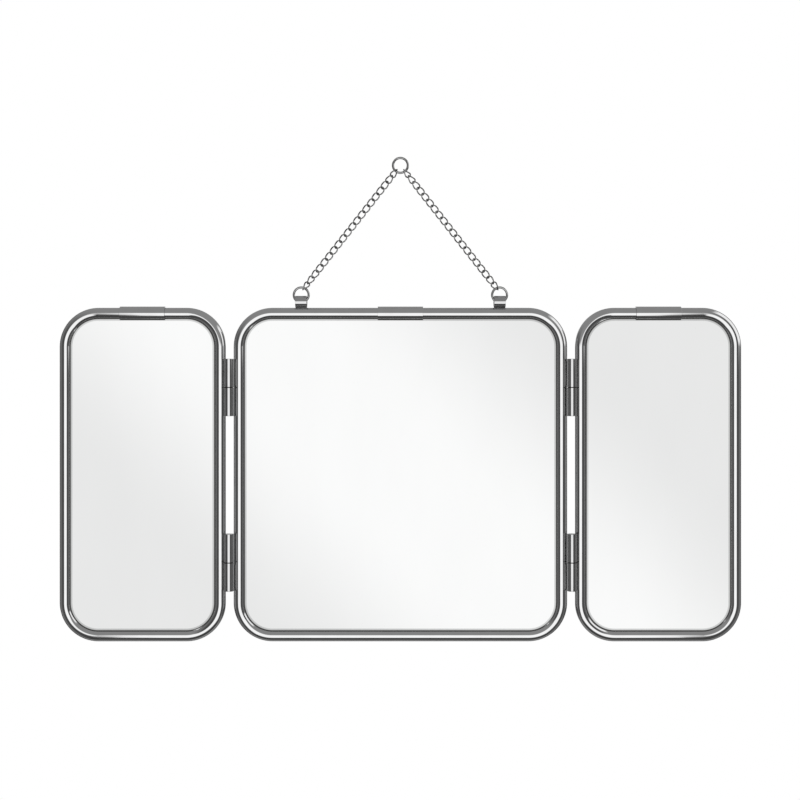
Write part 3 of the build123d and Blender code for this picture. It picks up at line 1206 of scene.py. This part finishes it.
@dataclass
class TentCloth:
    """The cloth of a round light tent, painted grey by the direction from the tent's middle.

    Directions are in degrees from the front.
    """

    wiring: Wiring
    middle_height: float
    window_rise: tuple[float, float] = (-35.5, 7.5)
    window_half: float = 23.0
    side_round: Stops = ((5, 0.0), (12, 1.0), (46, 1.0), (56, 0.0))
    side_aside: Stops = ((52, 0.0), (61, 0.92), (103, 0.92), (115, 0.0))
    dimming: float = 0.42
    slant_offset: float = 0.07
    slant_reach: float = 4.0
    least_forward: float = 0.05
    least_angle: float = 0.001
    second_mirror: float = 1.5
    slant_once: Stops = ((0.0225, 1.0), (0.1175, 0.836), (0.2125, 0.836), (0.6, 0.6))
    slant_twice: Stops = ((0.15, 0.836), (0.22, 0.1))

    def __post_init__(self) -> None:
        """Finds a place's parts to the right, upwards and towards the front."""
        lift = (0.0, 0.0, -self.middle_height)
        centred = self.wiring.add("Mapping", Vector=self.wiring.place(), Location=lift)
        axes = self.wiring.add("SeparateXYZ", i0=centred.outputs["Vector"]).outputs
        self.right, self.up = axes["X"], axes["Z"]
        self.forward = self.wiring.math("MULTIPLY", axes["Y"], -1.0)

    def again(self) -> Socket:
        """Gives 1 where the tent is seen in a second mirror, else 0."""
        depth = self.wiring.add("LightPath").outputs["Glossy Depth"]
        return self.wiring.math("GREATER_THAN", depth, self.second_mirror)

    def banded(self) -> Socket:
        """Paints the metal's tent: a bright window in front and bands all round it.

        It is dimmer where it is seen in a second mirror.

        Returns:
            The cloth's grey.
        """
        low, high = self.window_rise
        edge = self.window_half
        rising = (
            *((-180, 1.0), (-167, 0.9), (-157, 0.20), (-122, 0.14), (-95, 0.26), (-89, 0.26)),
            *((-83, 0.05), (low - 8, 0.05), (low, 1.0), (high, 1.0), (high + 5, 0.25)),
            *((40, 0.24), (126, 0.25), (157, 0.27), (167, 0.9), (180, 1.0)),
        )
        turning = (
            *((edge, 1.0), (edge + 5, 0.06), (50, 0.06), (72, 0.12), (92, 0.18), (116, 0.07)),
            *((132, 0.055), (158, 0.10), (168, 0.9), (180, 1.0)),
        )
        both_ways = (*((-turn, shade) for turn, shade in reversed(turning)), *turning)
        upright = self.ringed(self.up, self.forward, rising)
        level = self.ringed(self.right, self.forward, both_ways)
        above = self.past_window(self.up, self.right, low, high)
        beside = self.past_window(self.right, self.up, -edge, edge)
        share = self.wiring.math("DIVIDE", above, self.wiring.math("ADD", above, beside))
        bands = self.wiring.mix(share, level, upright)
        once = self.wiring.math("MAXIMUM", bands, self.side_window())
        dimmed = self.wiring.math("MULTIPLY", self.again(), self.dimming)
        return self.wiring.math("MULTIPLY", once, self.wiring.math("SUBTRACT", 1.0, dimmed))

    def side_window(self) -> Socket:
        """Paints the second window, high on the right, which lights the tubes' corner bends.

        Returns:
            The window's grey.
        """
        from_front = self.wiring.length(self.right, self.up)
        aside = self.ringed(from_front, self.forward, self.side_aside)
        return self.wiring.math("MULTIPLY", aside, self.ringed(self.up, self.right, self.side_round))

    def ringed(self, rise: Socket, forward: Socket, stops: Stops) -> Socket:
        """Paints greys by the angle between two parts of a place.

        Args:
            rise: the part away from the front.
            forward: the part towards the front.
            stops: pairs of degrees, -180 to 180, and grey.

        Returns:
            The grey.
        """
        angle = self.wiring.math("ARCTAN2", rise, forward)
        share = self.wiring.math("ADD", self.wiring.math("DIVIDE", angle, 2 * math.pi), 0.5)
        return self.wiring.ramp(share, tuple((turn / 360 + 0.5, shade) for turn, shade in stops))

    def past_window(self, rise: Socket, across: Socket, low: float, high: float) -> Socket:
        """Gives how far a place lies outside the front window in one direction, squared.

        Args:
            rise: the part of the place in that direction.
            across: its part across that direction.
            low: the window's lower limit.
            high: its upper limit.

        Returns:
            The square of the angle, never quite zero.
        """
        angle = self.wiring.math("ARCTAN2", rise, self.wiring.length(across, self.forward))
        below = self.wiring.math("SUBTRACT", math.radians(low), angle)
        above = self.wiring.math("SUBTRACT", angle, math.radians(high))
        outside = self.wiring.math("MAXIMUM", below, above)
        past = self.wiring.math("MAXIMUM", outside, self.least_angle)
        return self.wiring.math("MULTIPLY", past, past)

    def slanting(self) -> Socket:
        """Paints the glass's tent: a slanting bright band that falls off softly on both sides.

        It is darker where the frame's metal mirrors the glass.

        Returns:
            The cloth's grey.
        """
        ahead = self.wiring.math("MAXIMUM", self.forward, self.least_forward)
        slope = self.wiring.math("DIVIDE", self.wiring.math("ADD", self.right, self.up), ahead)
        from_band = self.wiring.math("ABSOLUTE", self.wiring.math("ADD", slope, self.slant_offset))
        away = self.wiring.math("DIVIDE", from_band, self.slant_reach)
        once = self.wiring.ramp(away, self.slant_once, "EASE")
        return self.wiring.mix(self.again(), once, self.wiring.ramp(away, self.slant_twice, "EASE"))


@dataclass
class Studio:
    """The pale floor, the light tents that metal and glass mirror, the lamps and the camera."""

    metals: list[bpy.types.Object]
    panes: list[bpy.types.Object]
    floor_height: float = -1.75
    floor_half: float = 3.4
    floor_grey: float = 0.97
    floor_glow: float = 0.88
    metal_tent: float = 1.15
    glass_tent: float = 1.2
    tent_height: float = -0.229
    tent_detail: int = 4
    camera_place: Triple = (-0.0003, -0.8, -0.1734)
    lens: float = 50.0
    clip_start: float = 0.01
    ambient: float = 0.75
    key_place: Triple = (-1.1, -1.4, 1.1)
    key_watts: float = 14.0
    back_place: Triple = (1.1, 1.5, 0.9)
    back_watts: float = 8.0
    lamp_size: float = 1.2

    def build(self) -> None:
        """Sets up the whole studio."""
        self.set_world()
        self.lay_floor()
        self.pitch_tent("metal_tent", self.metal_tent, self.metals)
        self.pitch_tent("glass_tent", self.glass_tent, self.panes)
        self.hang_lamp("key_lamp", self.key_place, self.key_watts)
        self.hang_lamp("back_lamp", self.back_place, self.back_watts)
        self.set_camera()
        bpy.context.scene.view_settings.view_transform = "Standard"

    def seen(self, wiring: Wiring) -> Socket:
        """Finds the three kinds of ray that show the white background.

        Args:
            wiring: the nodes of the world or the floor.

        Returns:
            1 for those rays, else 0.
        """
        path = wiring.add("LightPath").outputs
        direct = wiring.math("MAXIMUM", path["Is Camera Ray"], path["Is Glossy Ray"])
        return wiring.math("MAXIMUM", direct, path["Is Transmission Ray"])

    def set_world(self) -> None:
        """Makes a white surround that lights the object at a plain level."""
        world = bpy.data.worlds.new("studio_surround")
        world.use_nodes = True
        bpy.context.scene.world = world
        wiring = Wiring(world.node_tree)
        light = wiring.add("Background", Color=WHITE, Strength=self.ambient)
        white = wiring.add("Background", Color=WHITE, Strength=1.0)
        both = wiring.add("MixShader", i0=self.seen(wiring), i1=light.outputs[0], i2=white.outputs[0])
        wiring.add("OutputWorld", Surface=both.outputs[0])

    def lay_floor(self) -> None:
        """Lays a plain white floor that keeps the object's shadow."""
        bm = bmesh.new()
        place = Matrix.Translation((0, 0, self.floor_height))
        flat_strip(bm, place, 2 * self.floor_half, 2 * self.floor_half)
        material, wiring = new_material("floor_white")
        matt = wiring.add("BsdfDiffuse", Color=(*grey(self.floor_grey), 1.0))
        white = wiring.add("Emission", Color=WHITE, Strength=1.0)
        share = wiring.math("MULTIPLY", self.seen(wiring), self.floor_glow)
        both = wiring.add("MixShader", i0=share, i1=matt.outputs[0], i2=white.outputs[0])
        wiring.add("OutputMaterial", Surface=both.outputs[0])
        self.stand("floor", bm, material)

    def pitch_tent(self, name: str, radius: float, mirrors: list[bpy.types.Object]) -> None:
        """Pitches a round light tent that is seen only in some of the polished pieces.

        Args:
            name: the tent's name.
            radius: the tent's radius.
            mirrors: the pieces that it is seen in.
        """
        bm = bmesh.new()
        place = Matrix.Translation((0, 0, self.tent_height))
        bmesh.ops.create_icosphere(bm, subdivisions=self.tent_detail, radius=radius, matrix=place)
        material, wiring = new_material(f"{name}_cloth")
        cloth = TentCloth(wiring, self.tent_height)
        colour = cloth.banded() if mirrors is self.metals else cloth.slanting()
        glow = wiring.add("Emission", Color=colour, Strength=1.0)
        clear = wiring.add("BsdfTransparent")
        both = wiring.add("AddShader", i0=glow.outputs[0], i1=clear.outputs[0])
        wiring.add("OutputMaterial", Surface=(both if mirrors is self.metals else glow).outputs[0])
        material.cycles.emission_sampling = "NONE"
        tent = self.stand(name, bm, material)
        for ray in ("camera", "diffuse", "transmission", "volume_scatter", "shadow"):
            setattr(tent, f"visible_{ray}", False)
        seen_in = bpy.data.collections.new(f"sees_{name}")
        for mirror in mirrors:
            seen_in.objects.link(mirror)
        tent.light_linking.receiver_collection = seen_in

    def stand(self, name: str, bm: BMesh, material: bpy.types.Material) -> bpy.types.Object:
        """Puts a thing of the studio in the scene, apart from the object.

        Args:
            name: its name.
            bm: its mesh, which is used up.
            material: its material.

        Returns:
            The new object.
        """
        thing = put_in_scene(name, as_mesh(name, bm))
        thing.data.materials.append(material)
        return thing

    def hang_lamp(self, name: str, place: Triple, watts: float) -> None:
        """Hangs one soft lamp that faces the mirror and isn't seen in it.

        Args:
            name: the lamp's name.
            place: where it hangs.
            watts: its power.
        """
        light = bpy.data.lights.new(name, "AREA")
        light.energy = watts
        light.size = self.lamp_size
        lamp = put_in_scene(name, light)
        lamp.location = place
        aim = Vector((0, 0, self.tent_height)) - lamp.location
        lamp.rotation_euler = aim.to_track_quat("-Z", "Y").to_euler()
        lamp.visible_glossy = False
        lamp.visible_camera = False

    def set_camera(self) -> None:
        """Stands the camera in front of the mirror, level with it."""
        camera = bpy.data.cameras.new("camera")
        camera.lens = self.lens
        camera.clip_start = self.clip_start
        view = put_in_scene("camera", camera)
        view.location = self.camera_place
        view.rotation_euler = (math.pi / 2, 0, 0)
        bpy.context.scene.camera = view


def main() -> None:
    """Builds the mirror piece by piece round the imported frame, then its studio."""
    logging.basicConfig(level=logging.INFO, format="%(message)s")
    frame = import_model()
    workshop = Workshop()
    for panel in Panel:
        PanelFrame(panel, workshop).build()
    for side in Side:
        for level in ("upper", "lower"):
            BarrelHinge(side, level, workshop).build()
        HangerLoop(side, workshop).build()
    HangingChains(workshop).build()
    Studio(workshop.metals, workshop.panes).build()
    LOG.info("%d pieces for %d nodes", len(workshop.metals) + len(workshop.panes), len(frame["nodes"]))


if __name__ == "__main__":
    main()
